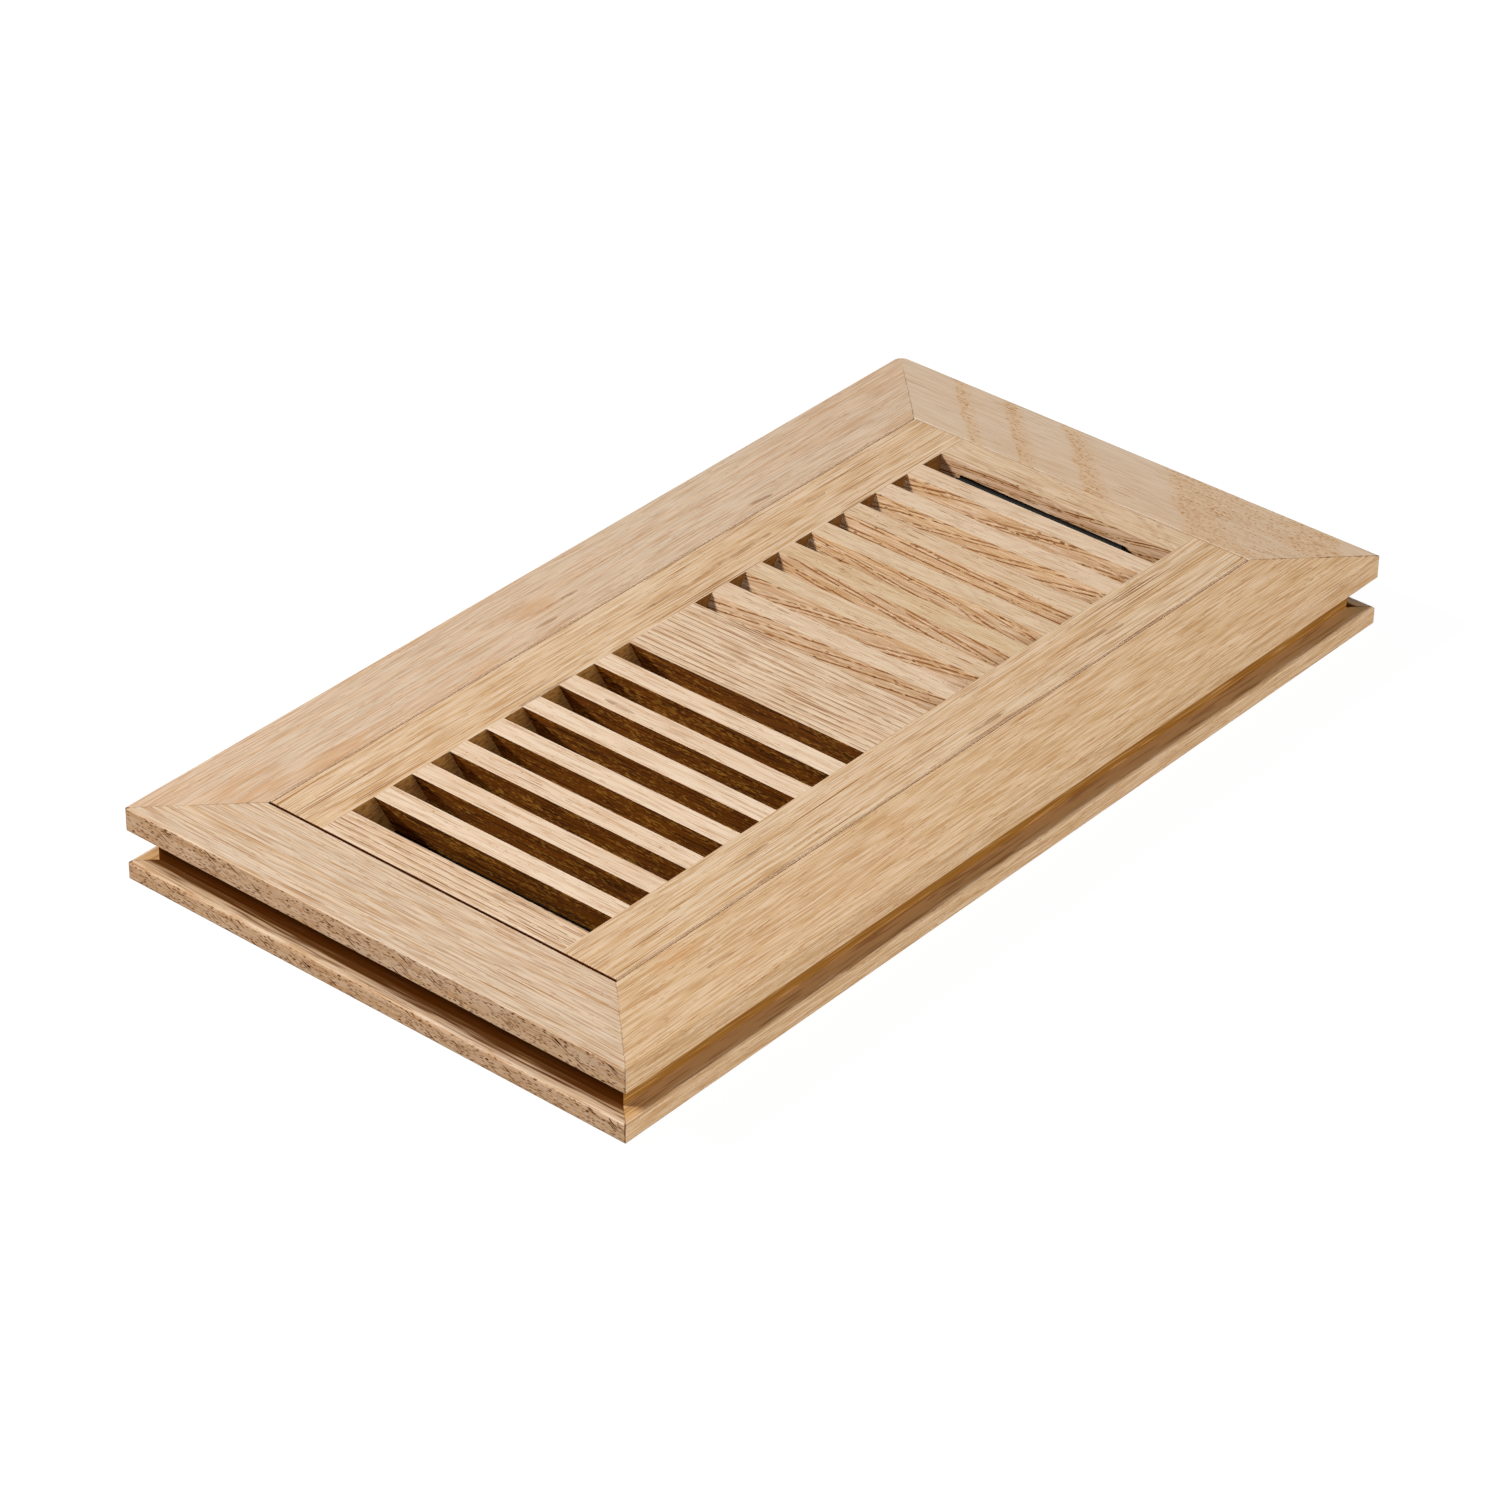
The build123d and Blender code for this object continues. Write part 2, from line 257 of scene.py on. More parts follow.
def smooth(value, low, high):
    """0 below low, 1 above high and a soft step between them."""
    limits = {"Value": value, "From Min": low, "From Max": high}
    return value.node("MapRange", {"interpolation_type": "SMOOTHSTEP"}, limits)


def between(value, low, high, edge):
    """1 between two limits, with soft edges outside them."""
    return smooth(value, low - edge, low) * (1 - smooth(value, high, high + edge))


def smaller(first, second):
    return first.math("MINIMUM", first, second)


def blend(factor, first, second):
    """Colour between two colours; a plain colour gets its alpha here."""
    def full(colour):
        return colour if isinstance(colour, Wire) else (*colour, 1.0)

    inputs = {"Factor": factor, 6: full(first), 7: full(second)}
    return factor.node("Mix", {"data_type": "RGBA"}, inputs, output=2)


def mark(weight, colour, pale, dark):
    """Darkens a colour; where the mark is faint it is warm, and not grey."""
    return blend(weight, colour, blend(weight, pale, dark))


def split(vector):
    """The three parts of a vector."""
    parts = vector.node("SeparateXYZ", inputs={0: vector})
    return parts, parts.beside(1), parts.beside(2)


def new_material(name):
    """An empty material and the wire that builds its nodes."""
    material = bpy.data.materials.new(name)
    material.use_nodes = True
    material.node_tree.nodes.clear()
    return material, Wire(material.node_tree)


def finish_material(wire, **inputs):
    """Closes a material with a Principled shader."""
    sockets = {name.replace("_", " "): value for name, value in inputs.items()}
    shader = wire.node("BsdfPrincipled", inputs=sockets)
    wire.node("OutputMaterial", inputs={"Surface": shader})


def dress(node_name, material):
    """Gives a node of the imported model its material, in every slot."""
    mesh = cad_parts[node_name].data
    mesh.materials.clear()
    mesh.materials.append(material)


@dataclass(frozen=True)
class Stock:
    """How one piece of oak was cut from the log, and how strongly its marks show.

    Rings are counted per millimetre along the grain, across it and into the depth. Hairlines
    have a length and a width in millimetres. Mitre lines have a strength at the piece's two
    ends, the one at the lower coordinate first. A patch has the X and Y of its middle, half
    its length and half its width in millimetres, and a strength.
    """
    body: str
    grain: str = "Y"
    seed: int = 0
    tilt: float = 0.0
    bend: float = 0.8
    streak_tone: str = "honey"
    streaks: float = 0.35
    rings: tuple = (0.0, 0.3, 0.12)
    ring_phase: float = 0.0
    ring_bow: float = 0.0
    ring_wobble: float = 0.4
    ring_floor: float = -1000.0
    ring_width: float = 0.5
    ring_tint: float = 0.25
    ring_pores: float = 0.1
    ring_lines: int = 2
    ring_dark: float = 0.0
    plain_top: float = 0.0
    top_tone: str = ""
    top_share: float = 0.0
    fibres: float = 0.5
    hair_size: tuple = (9.0, 0.42)
    hair_reach: float = 0.24
    hairs: float = 0.9
    ticks: float = 0.6
    pore_reach: float = 0.09
    pores: float = 0.6
    pore_tone: str = "pore"
    pore_scale: float = 1.0
    mitres: tuple = (0.0, 0.0)
    patches: tuple = ()
    # The next three fields set painted shade in the edge groove: its strength and tone on the level
    # walls, and how far in and how dark it gets at the back
    groove: float = 0.0
    groove_shade_tone: str = "honey"
    deep_groove_shade: float = 0.0
    sawn: float = 0.0


# Step in the log from one piece to the next, and the turn that lays the grain along X
LOG_STEP = Vector((137.0, 71.0, 43.0))
GRAIN_TURN = {"X": 0.0, "Y": -math.pi / 2}

# Lengths of the oak's slow changes along and across the grain, and of the crowding of the painted
# glints, in millimetres
GRAIN_DRIFT = (80.0, 12.0)
RING_WAVE = (55.0, 9.0)
BLUSH = (70.0, 22.0)
CROWDING = (30.0, 4.0)
SAWN_CROWDING = (12.0, 2.0)
PAINTED_GLINT_CROWDING = (16.0, 3.0)
PATCH_MOTTLE = (12.0, 2.2)

# The same of the fine marks that its making left, and of the painted glints
RING_BREAKS = (4.5, 0.5)
MITRE_JAG = (1.3, 1.3)
MITRE_BREAKS = (9.0, 9.0)
GROOVE_SCORES = (18.0, 0.7)
CUT_ROUGHNESS = (2.5, 0.8)
UNDER_GRAIN = (14.0, 0.8)
PAINTED_GLINT = (1.2, 0.5)

# More hairlines in early wood, smaller pores in sawn faces, and the saw marks' slant in degrees
RING_HAIRS = 0.05
SAWN_PORE_SCALE = 0.6
SAW_SLANT = 25.0


def piece_origin(node_name):
    """Middle of a piece's top, in millimetres; on a slat, the edge above its left face."""
    low, high = (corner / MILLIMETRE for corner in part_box(node_name))
    middle = (low + high) / 2
    if node_name.startswith("slat_near"):
        middle.x = low.x
    if node_name.startswith("slat_far"):
        middle.x = high.x - SLAT_THICKNESS / math.cos(math.radians(SLAT_TILT))
    return Vector((middle.x, middle.y, high.z))


class Surface:
    """A point on a piece of oak: in the register, along the grain and by its facing.

    spot holds X, Y and Z in millimetres, facing the same of the outward direction. along_grain
    runs along, across and into the grain from the piece's origin, and place is that point in
    the piece's own part of the log. Both follow the drift of the grain, and log_place doesn't.
    """

    def __init__(self, wood, node_name, stock):
        point = wood.node("TexCoord", output="Object")
        self.facing = split(wood.node("TexCoord", output="Normal"))
        self.spot = split(wood.vector("MULTIPLY", point, TO_MILLIMETRES))
        turn = Euler((0.0, math.radians(stock.tilt), GRAIN_TURN[stock.grain]))
        grain = {
            "Vector": point,
            "Location": -(turn.to_matrix() @ piece_origin(node_name)),
            "Rotation": turn,
            "Scale": TO_MILLIMETRES,
        }
        straight = wood.node("Mapping", inputs=grain)
        self.log_place = wood.vector("ADD", straight, LOG_STEP * stock.seed)
        drift = noise(self.log_place, GRAIN_DRIFT).beside(1)
        sideways = (0.0, 2 * stock.bend, 2 * stock.bend)
        self.along_grain = wood.vector("MULTIPLY_ADD", drift, sideways, straight)
        self.place = wood.vector("MULTIPLY_ADD", drift, sideways, self.log_place)

    def from_edges(self):
        """Distance in from the frame's end and from its side."""
        x, y, _ = self.spot
        return HALF_LENGTH - abs(x), HALF_WIDTH - abs(y)

    def inset(self):
        """Distance in from the frame's outline."""
        return smaller(*self.from_edges())

    def planed(self):
        """1 on the top face."""
        return smooth(self.facing[2], 0.8, 0.95)

    def level(self):
        """1 on faces that look up or down."""
        return smooth(abs(self.facing[2]), 0.5, 0.8)

    def far_half(self):
        """1 in the far half of the register, and 0 in the near one."""
        return smooth(self.spot[0], -1.0, 1.0)


def mark_size(sizes, kind, scale=1.0):
    """Length and width of a kind of mark, in millimetres."""
    length, width = getattr(sizes, f"{kind}_length"), getattr(sizes, f"{kind}_width")
    return length * scale / MILLIMETRE, width * scale / MILLIMETRE


def noise(place, size, detail=0.0):
    """Noise drawn out along the grain, about 0.5 on average."""
    length, width = size
    drawn_out = place.vector("DIVIDE", place, (length, width, width))
    return place.node("TexNoise", inputs={"Vector": drawn_out, "Scale": 1.0, "Detail": detail})


def dashes(place, size, reach):
    """Separate dashes along the grain, some fainter than others.

    At a reach of 0.25 they have the given length and width. A larger reach makes them larger
    and closer, a smaller one smaller and rarer.
    """
    length, width = size
    drawn_out = place.vector("DIVIDE", place, (2 * length, 2 * width, 2 * width))
    distance = place.node("TexVoronoi", inputs={"Vector": drawn_out, "Scale": 1.0})
    chance, _, _ = split(distance.beside("Color"))
    inside = 1 - smooth(distance, reach * 0.75, reach)
    return inside * (chance * 0.7 + 0.3)


def ring_marks(surface, stock):
    """Bands of early wood, and the dashed dark lines in them.

    Each ring starts sharply with early wood and fades into late wood.
    """
    along_grain = surface.along_grain
    count = along_grain.vector("DOT_PRODUCT", along_grain, stock.rings, output="Value")
    count = count + stock.ring_phase
    if stock.ring_bow:
        count = count + count * count * stock.ring_bow
    wave = noise(surface.place, RING_WAVE, 1.0) - 0.5
    count = count + wave * (2 * stock.ring_wobble)
    share = count.math("FRACT", count)
    early = smooth(share, 0.0, 0.1) * (1 - smooth(share, 0.4 * stock.ring_width, stock.ring_width))
    early = early * (1 - surface.planed() * stock.plain_top)
    early = early * smooth(count, stock.ring_floor, stock.ring_floor + 0.2)
    fine = count * stock.ring_lines
    fine = fine.math("FRACT", fine)
    broken = smooth(noise(surface.place, RING_BREAKS, 1.0), 0.38, 0.47)
    lines = smooth(fine, 0.0, 0.1) * (1 - smooth(fine, 0.42, 0.58)) * broken
    return early, early * lines


def oak_colour(surface, stock, tones, sizes):
    """Base colour of a piece, and where its open pores lie."""
    place = surface.place
    early, lines = ring_marks(surface, stock)
    streak = smooth(noise(place, mark_size(sizes, "streak"), 1.0), 0.42, 0.68)
    blush = smooth(noise(place, BLUSH), 0.42, 0.66)
    fibre = noise(place, mark_size(sizes, "fibre"), 1.0)
    crowd = noise(place, CROWDING) - 0.5
    hair_reach = crowd * 0.4 + early * RING_HAIRS + stock.hair_reach
    pore_reach = crowd * 0.25 + early * stock.ring_pores + stock.pore_reach
    ticks = dashes(place, mark_size(sizes, "tick"), crowd * 0.3 + 0.2)
    hairs = dashes(place, stock.hair_size, hair_reach)
    pores = dashes(place, mark_size(sizes, "pore", stock.pore_scale), pore_reach)

    body, streak_tone = getattr(tones, stock.body), getattr(tones, stock.streak_tone)
    colour = blend(streak * stock.streaks, body, streak_tone)
    if stock.top_share:
        top_tone = getattr(tones, stock.top_tone)
        colour = blend(surface.planed() * stock.top_share, colour, top_tone)
    colour = blend(blush * 0.2, colour, tones.rose)
    colour = blend(early * stock.ring_tint, colour, tones.honey)
    colour = blend(smooth(fibre, 0.5, 0.64) * stock.fibres, colour, tones.line)
    colour = blend((1 - smooth(fibre, 0.36, 0.5)) * stock.fibres, colour, tones.cream)
    colour = blend(lines * stock.ring_dark, colour, tones.dark_line)
    colour = blend(ticks * stock.ticks, colour, tones.line)
    colour = mark(hairs * stock.hairs, colour, tones.line, tones.dark_line)
    colour = mark(pores * stock.pores, colour, tones.line, getattr(tones, stock.pore_tone))
    return colour, pores


def mitre_line(surface, stock):
    """Broken dark line where two boards meet at a corner."""
    from_end, from_side = surface.from_edges()
    along = surface.spot[0] if stock.grain == "X" else surface.spot[1]
    low_end, high_end = stock.mitres
    strength = smooth(along, -1.0, 1.0) * (high_end - low_end) + low_end
    jag = noise(surface.place, MITRE_JAG, 1.0)
    broken = smooth(noise(surface.place, MITRE_BREAKS), 0.36, 0.56)
    outer = 1 - smooth(surface.inset(), 0.4, 1.2)
    width = smooth(jag, 0.35, 0.7) * 0.45 + outer * 0.3 + 0.08
    line = 1 - smooth(abs(from_end - from_side), width * 0.4, width)
    return line * (strength + outer * 0.5) * broken


def groove_walls(surface):
    """1 on the edge groove's back wall, the same of its level walls, and the distance in."""
    inset = surface.inset()
    level = surface.level()
    inside = between(surface.spot[2], GROOVE_LOW - 0.2, GROOVE_TOP + 0.2, 0.3)
    inside = inside * (1 - smooth(inset, GROOVE_DEPTH + 0.2, GROOVE_DEPTH + 0.8))
    back = inside * (1 - level) * smooth(inset, GROOVE_DEPTH - 0.6, GROOVE_DEPTH - 0.2)
    return back, inside * level * smooth(inset, 0.4, 1.2), inset


def saw_marks(surface, sizes):
    """Slanting scratches on the sawn outside faces of the boards."""
    x, y, z = surface.spot
    slant = math.radians(SAW_SLANT)
    along = (x + y) * math.cos(slant) + z * math.sin(slant)
    across = z * math.cos(slant) - (x + y) * math.sin(slant)
    scratch_place = x.node("CombineXYZ", inputs={0: along, 1: across})
    return dashes(scratch_place, mark_size(sizes, "saw"), 0.3)


def sawn_edge(surface, colour, stock, tones, sizes):
    """Brown outside face with crowded open pores and slanting saw marks."""
    face = (1 - surface.level()) * (1 - smooth(surface.inset(), 0.3, 0.8)) * stock.sawn
    pore_size = mark_size(sizes, "pore", SAWN_PORE_SCALE)
    pore_reach = noise(surface.place, SAWN_CROWDING) * 0.2 + 0.31
    open_pores = dashes(surface.place, pore_size, pore_reach)
    colour = blend(face * face * 0.4, colour, tones.line)
    colour = mark(face * open_pores, colour, tones.line, tones.pore)
    return mark(face * saw_marks(surface, sizes), colour, tones.line, tones.pore)


def warm_patches(surface, colour, stock, tones):
    """Soft orange patches on a board's top."""
    x, y, _ = surface.spot
    mottle = smooth(noise(surface.place, PATCH_MOTTLE, 1.0), 0.3, 0.6)
    for middle_x, middle_y, half_length, half_width, strength in stock.patches:
        along = (x - middle_x) / half_length
        across = (y - middle_y) / half_width
        inside = 1 - smooth(along * along + across * across, 0.1, 1.2)
        colour = blend(inside * mottle * strength, colour, tones.amber)
    return colour


def paint_gap_light_and_shade(surface, colour, tones):
    """Painted light and shade in the gap round the insert: painted light on the side walls, painted
    shade on the end walls, most at the near end.
    """
    from_end, from_side = surface.from_edges()
    inner = smooth(surface.inset(), FRAME_FACE - 0.3, FRAME_FACE - 0.1)
    wall = inner * (1 - smooth(surface.spot[2], TOP_FACE - 0.3, TOP_FACE))
    end_gap_shade = between(from_end, *INSERT_GAP, 0.1) * wall
    side_gap_light = between(from_side, *INSERT_GAP, 0.1) * wall
    # Painted light brightens the narrow side gaps, and painted shade darkens the end gaps
    colour = blend(side_gap_light * 0.9, colour, tones.cream)
    return blend(end_gap_shade * (1 - surface.far_half() * 0.7), colour, tones.pore)


def frame_touches(surface, colour, stock, tones, sizes):
    """Marks of a frame board: its sawn edge, warm patches, groove scores and mitres, with painted
    shade in the edge groove and painted light and shade in the gap.
    """
    colour = sawn_edge(surface, colour, stock, tones, sizes)
    colour = warm_patches(surface, colour, stock, tones)
    back, level, inset = groove_walls(surface)
    scored = noise(surface.place, GROOVE_SCORES, 1.0)
    reach = inset + (scored - 0.5) * 5.0
    # Painted shade in the edge groove: the walls turn browner further in and at the back, near black
    # in the end boards; the scores are router marks
    deep_shade = back + level * smooth(reach, 2.0, 4.8) * stock.deep_groove_shade
    groove_level_shade = level * smooth(reach, 0.6, 2.4) * stock.groove
    colour = blend(groove_level_shade, colour, getattr(tones, stock.groove_shade_tone))
    colour = blend(deep_shade, colour, tones.painted_recess_shade)
    colour = blend((back + level) * smooth(scored, 0.52, 0.64) * 0.45, colour, tones.dark_line)
    colour = blend((back + level) * (1 - smooth(scored, 0.34, 0.44)) * 0.4, colour, tones.honey)
    colour = blend(deep_shade * stock.deep_groove_shade, colour, tones.pore)
    colour = paint_gap_light_and_shade(surface, colour, tones)
    return blend(mitre_line(surface, stock), colour, tones.pore)


def paint_underside_shade(surface, colour, tones):
    """Painted shade: dark brown where a wall leans over the slot and faces down, with painted golden
    highlights on it.
    """
    # Painted shade: walls that face down over the slots turn dark brown, grained with pore brown
    under = smooth(-surface.facing[2], 0.1, 0.4)
    grain = smooth(noise(surface.place, UNDER_GRAIN, 1.0), 0.46, 0.62)
    # Painted highlights: golden glints dashed over that painted shade
    painted_glints = dashes(surface.place, PAINTED_GLINT, noise(surface.place, PAINTED_GLINT_CROWDING) * 0.9 - 0.1)
    brown = blend(grain * 0.8, tones.under, tones.pore)
    brown = blend(painted_glints * 0.65, brown, tones.painted_glint_gold)
    return blend(under * 0.95, colour, brown)


def paint_slot_wall_shade(surface, colour, tones):
    """Painted shade on the air slots' end walls, ochre brown and darker in the far half, and on
    walls that lean over.
    """
    # Painted shade: the slots' end walls turn ochre brown, darker in the far half, mottled with pore
    # brown
    end_wall = smooth(abs(surface.facing[1]), 0.5, 0.8)
    rough = smooth(noise(surface.place, CUT_ROUGHNESS, 1.0), 0.45, 0.65)
    ochre = blend(surface.far_half(), tones.painted_recess_shade, tones.cut)
    colour = blend(end_wall * 0.95, colour, blend(rough * 0.5, ochre, tones.pore))
    return paint_underside_shade(surface, colour, tones)


def insert_touches(surface, colour, stock, tones, sizes):
    """Painted shade on the air slots' walls, and painted light and shade in the gap round the
    insert.
    """
    colour = paint_slot_wall_shade(surface, colour, tones)
    return paint_gap_light_and_shade(surface, colour, tones)


def slat_touches(surface, colour, stock, tones, sizes):
    """Painted shade where a slat leans over the slot, with painted golden highlights."""
    return paint_underside_shade(surface, colour, tones)


def oak_material(node_name, stock, touches, tones, sizes):
    """Unfinished, sanded oak."""
    material, wood = new_material(f"oak_{node_name}")
    surface = Surface(wood, node_name, stock)
    colour, pores = oak_colour(surface, stock, tones, sizes)
    colour = touches(surface, colour, stock, tones, sizes)
    furrows = noise(surface.log_place, mark_size(sizes, "tick"))
    relief = {"Height": furrows, "Distance": sizes.relief, "Strength": 1.0}
    finish_material(
        wood,
        Base_Color=colour,
        Roughness=0.7 + pores * 0.2,
        Normal=wood.node("Bump", inputs=relief),
        Specular_IOR_Level=0.0,
    )
    return material


BOARD_STOCK = {
    "near_end_board": Stock(
        "drab", seed=1, streaks=0.22, rings=(0.002, 0.16, 0.1), ring_tint=0.2, ring_pores=0.06,
        hair_size=(16.0, 0.34), hairs=0.7, ticks=0.7, mitres=(0.3, 0.45),
        groove=0.6, groove_shade_tone="sawn", deep_groove_shade=0.9, sawn=1.0,
    ),
    "far_end_board": Stock(
        "drab", seed=2, streaks=0.12, rings=(-0.0588, -0.0588, 0.0), ring_phase=3.116,
        ring_bow=-0.0755, ring_wobble=0.12, ring_floor=-0.4, ring_tint=0.3, ring_pores=0.34,
        fibres=0.2, hair_size=(12.0, 0.5), hair_reach=0.15, hairs=0.6, ticks=0.3,
        pores=0.9, pore_tone="line", pore_scale=0.6, mitres=(1.0, 0.4),
        groove=0.6, groove_shade_tone="sawn", deep_groove_shade=0.95, sawn=1.0,
    ),
    "front_board": Stock(
        "peach", "X", seed=3, streaks=0.2, rings=(0.0, 0.12, 0.3), ring_tint=0.15,
        ring_pores=0.03, fibres=0.45, hair_size=(10.0, 0.34), hair_reach=0.2, hairs=0.6,
        ticks=0.75, mitres=(0.3, 1.0), groove=0.9, sawn=0.18,
        patches=(
            (-120.0, -66.0, 11.0, 4.0, 0.5),
            (-33.0, -69.5, 9.0, 3.0, 0.4),
        ),
    ),
    "back_board": Stock(
        "drab", "X", seed=4, streak_tone="rose", streaks=0.4, rings=(0.004, 0.12, 0.3),
        ring_tint=0.15, ring_pores=0.02, fibres=0.35, hair_size=(14.0, 0.34), hairs=0.4,
        ticks=0.5, pore_reach=0.07, mitres=(0.45, 0.4), groove=0.9, sawn=0.25,
        patches=(
            (-137.0, 70.0, 15.0, 9.0, 0.4),
            (-108.0, 64.0, 20.0, 4.0, 0.4),
            (-18.0, 74.0, 10.0, 4.0, 0.4),
            (-50.0, 63.0, 8.0, 3.0, 0.4),
        ),
    ),
}

LONG_RAIL = Stock(
    "tan", "X", seed=5, bend=0.4, streaks=0.45, rings=(0.0, 0.4, 0.2), ring_tint=0.4,
    fibres=0.48, hair_size=(36.0, 0.38), hair_reach=0.25, pore_reach=0.06,
)

INSERT_STOCK = {
    "front_rail": LONG_RAIL,
    "back_rail": replace(LONG_RAIL, seed=6),
    "near_end_rail": Stock(
        "beige", seed=7, streak_tone="rose", rings=(0.0, 0.45, 0.2), ring_wobble=0.2,
        ring_lines=3, ring_dark=0.8, hair_size=(18.0, 0.4), hair_reach=0.26,
    ),
    "far_end_rail": Stock(
        "rose", seed=8, streaks=0.3, rings=(0.03, 0.1, 0.3), ring_wobble=0.8, ring_width=0.75,
        ring_tint=0.4, ring_pores=0.3, ring_lines=4, ring_dark=1.0, plain_top=0.85,
        top_tone="tan", top_share=0.95, fibres=0.35, hair_size=(14.0, 0.55), hairs=0.6, pores=0.9,
    ),
    "centre_block": Stock(
        "beige", seed=9, bend=0.4, streak_tone="rose", rings=(0.0, 0.45, 0.2), ring_wobble=0.2,
        ring_lines=3, ring_dark=0.75, hair_size=(18.0, 0.38), hair_reach=0.26, hairs=0.85,
    ),
}

# Each far slat: the tone of its planed top, then of its left face the rings along and up it,
# where they start, how much they wave, and the dark lines in each
SLAT_FIGURE = (
    ("beige", 0.046, 0.45, 0.8, 0.25, 2),
    ("tan", 0.0263, 0.185, 0.2, 0.2, 5),
    ("olive", -0.0345, 0.32, 0.1, 0.2, 3),
    ("tan", -0.03, 0.25, 0.5, 0.7, 4),
    ("tan", -0.004, 0.3, 0.3, 0.2, 3),
    ("beige", 0.045, 0.274, 0.1, 0.3, 3),
    ("beige", 0.02, 0.18, 0.6, 0.3, 5),
)


def slat_stock():
    """Stock of every slat, by node name: the far half shows its figured faces."""
    stock = {}
    for number in range(1, SLATS_PER_HALF + 1):
        stock[f"slat_near_{number}"] = Stock(
            "sawn", seed=10 + number, tilt=SLAT_TILT, streak_tone="beige", streaks=0.2,
            rings=(0.01, 0.2, 0.1), ring_tint=0.2, top_tone="cream", top_share=1.0,
            fibres=0.4, hair_size=(14.0, 0.34), hair_reach=0.22, hairs=0.65,
        )
    for number, (planed, along, up, start, wave, lines) in enumerate(SLAT_FIGURE, 1):
        stock[f"slat_far_{number}"] = Stock(
            "sawn", seed=20 + number, tilt=-SLAT_TILT, rings=(along, 0.05, up), ring_phase=start,
            ring_wobble=wave, ring_width=0.8, ring_tint=0.22, ring_pores=0.2, ring_lines=lines,
            ring_dark=0.85, plain_top=0.9, top_tone=planed, top_share=1.0, fibres=0.35,
            hair_size=(7.0, 0.5), hair_reach=0.16, hairs=0.8, pores=0.9,
        )
    return stock


class OakOperator:
    """Shared by the operators that finish oak pieces."""

    def finish_oak(self, context, stocks, touches):
        scene = context.scene
        for node_name, stock in stocks.items():
            material = oak_material(node_name, stock, touches, scene.oak_tones, scene.grain_sizes)
            dress(node_name, material)
        return {"FINISHED"}


class FLOOR_REGISTER_OT_frame_boards(OakOperator, bpy.types.Operator):
    """Give the four mitred frame boards their oak"""
    bl_idname = "floor_register.frame_boards"
    bl_label = "Frame Boards"

    def execute(self, context):
        return self.finish_oak(context, BOARD_STOCK, frame_touches)


class FLOOR_REGISTER_OT_insert(OakOperator, bpy.types.Operator):
    """Give the insert's rails and block their oak"""
    bl_idname = "floor_register.insert"
    bl_label = "Rails and Block"

    def execute(self, context):
        return self.finish_oak(context, INSERT_STOCK, insert_touches)


class FLOOR_REGISTER_OT_slats(OakOperator, bpy.types.Operator):
    """Give every slat its own oak"""
    bl_idname = "floor_register.slats"
    bl_label = "Slats"

    def execute(self, context):
        return self.finish_oak(context, slat_stock(), slat_touches)


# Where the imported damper's finger tab stands, in metres: its outer face, and its top edge's ends
TAB_OUTER_FACE = 0.12645
TAB_FRONT = -0.0265
TAB_BACK = 0.0345

# Each screw is turned on by this much; its round parts have so many sides; its point keeps
# this share of the shank's width
SCREW_TURN = 0.7
SCREW_SIDES = 32
POINT_SHARE = 0.15

# Rounding of the folded edge, as a share of the sheet's thickness
HEM_ROUNDING = 0.9

# Points this close count as touching, a face this straight up or down counts as level, and
# faces that meet at less than this angle are shaded as one
TOUCH = 0.00001
LEVEL = 0.9
SMOOTH_ANGLE = math.radians(35.0)

# Steel: fineness and depth of the paint's grit, and fineness of the zinc's streaks and spangles
GRIT_SCALE = 900.0
GRIT_DEPTH = 0.00002
ZINC_STREAKS = (60.0, 1500.0, 1500.0)
SPANGLE_SCALE = 260.0


def painted_steel():
    """Satin black paint on sheet steel."""
    material, steel = new_material("black_steel")
    place = steel.node("TexCoord", output="Object")
    grit = steel.node("TexNoise", inputs={"Vector": place, "Scale": GRIT_SCALE, "Detail": 2.0})
    colour = blend(smooth(grit, 0.35, 0.75), tone(9, 8, 8), tone(22, 21, 21))
    relief = {"Height": grit, "Distance": GRIT_DEPTH, "Strength": 0.4}
    finish_material(
        steel, Base_Color=colour, Roughness=0.4 + grit * 0.2, Specular_IOR_Level=0.06,
        Normal=steel.node("Bump", inputs=relief),
    )
    return material


def plated_steel(name):
    """Zinc plate on steel, streaked along the register's length."""
    material, steel = new_material(name)
    place = steel.node("TexCoord", output="Object")
    drawn_out = steel.vector("MULTIPLY", place, ZINC_STREAKS)
    streak = steel.node("TexNoise", inputs={"Vector": drawn_out, "Scale": 1.0, "Detail": 3.0})
    spots = {"Vector": place, "Scale": SPANGLE_SCALE, "Detail": 2.0}
    spangle = steel.node("TexNoise", inputs=spots)
    colour = blend(spangle, tone(168, 168, 164), tone(204, 202, 194))
    finish_material(steel, Base_Color=colour, Metallic=1.0, Roughness=0.28 + streak * 0.25)
    return material


def select_parts(kind, test):
    """Selects the faces or the edges of the mesh in edit mode that pass a test."""
    bpy.ops.mesh.select_all(action="DESELECT")
    bpy.ops.mesh.select_mode(type=kind)
    data = bpy.context.object.data
    mesh = bmesh.from_edit_mesh(data)
    for part in mesh.faces if kind == "FACE" else mesh.edges:
        part.select_set(test(part))
    bmesh.update_edit_mesh(data)


def at_height(height):
    """Test for edges that lie level at a height."""
    return lambda edge: all(abs(point.co.z - height) < TOUCH for point in edge.verts)


def add_block(low, high):
    """A box between two corners, as the start of a piece."""
    bpy.ops.object.select_all(action="DESELECT")
    bpy.ops.mesh.primitive_cube_add(size=1.0, location=(low + high) / 2, scale=high - low)
    bpy.ops.object.transform_apply()
    return bpy.context.object


def extrude_selected(shift):
    bpy.ops.mesh.extrude_region_move(TRANSFORM_OT_translate={"value": shift})


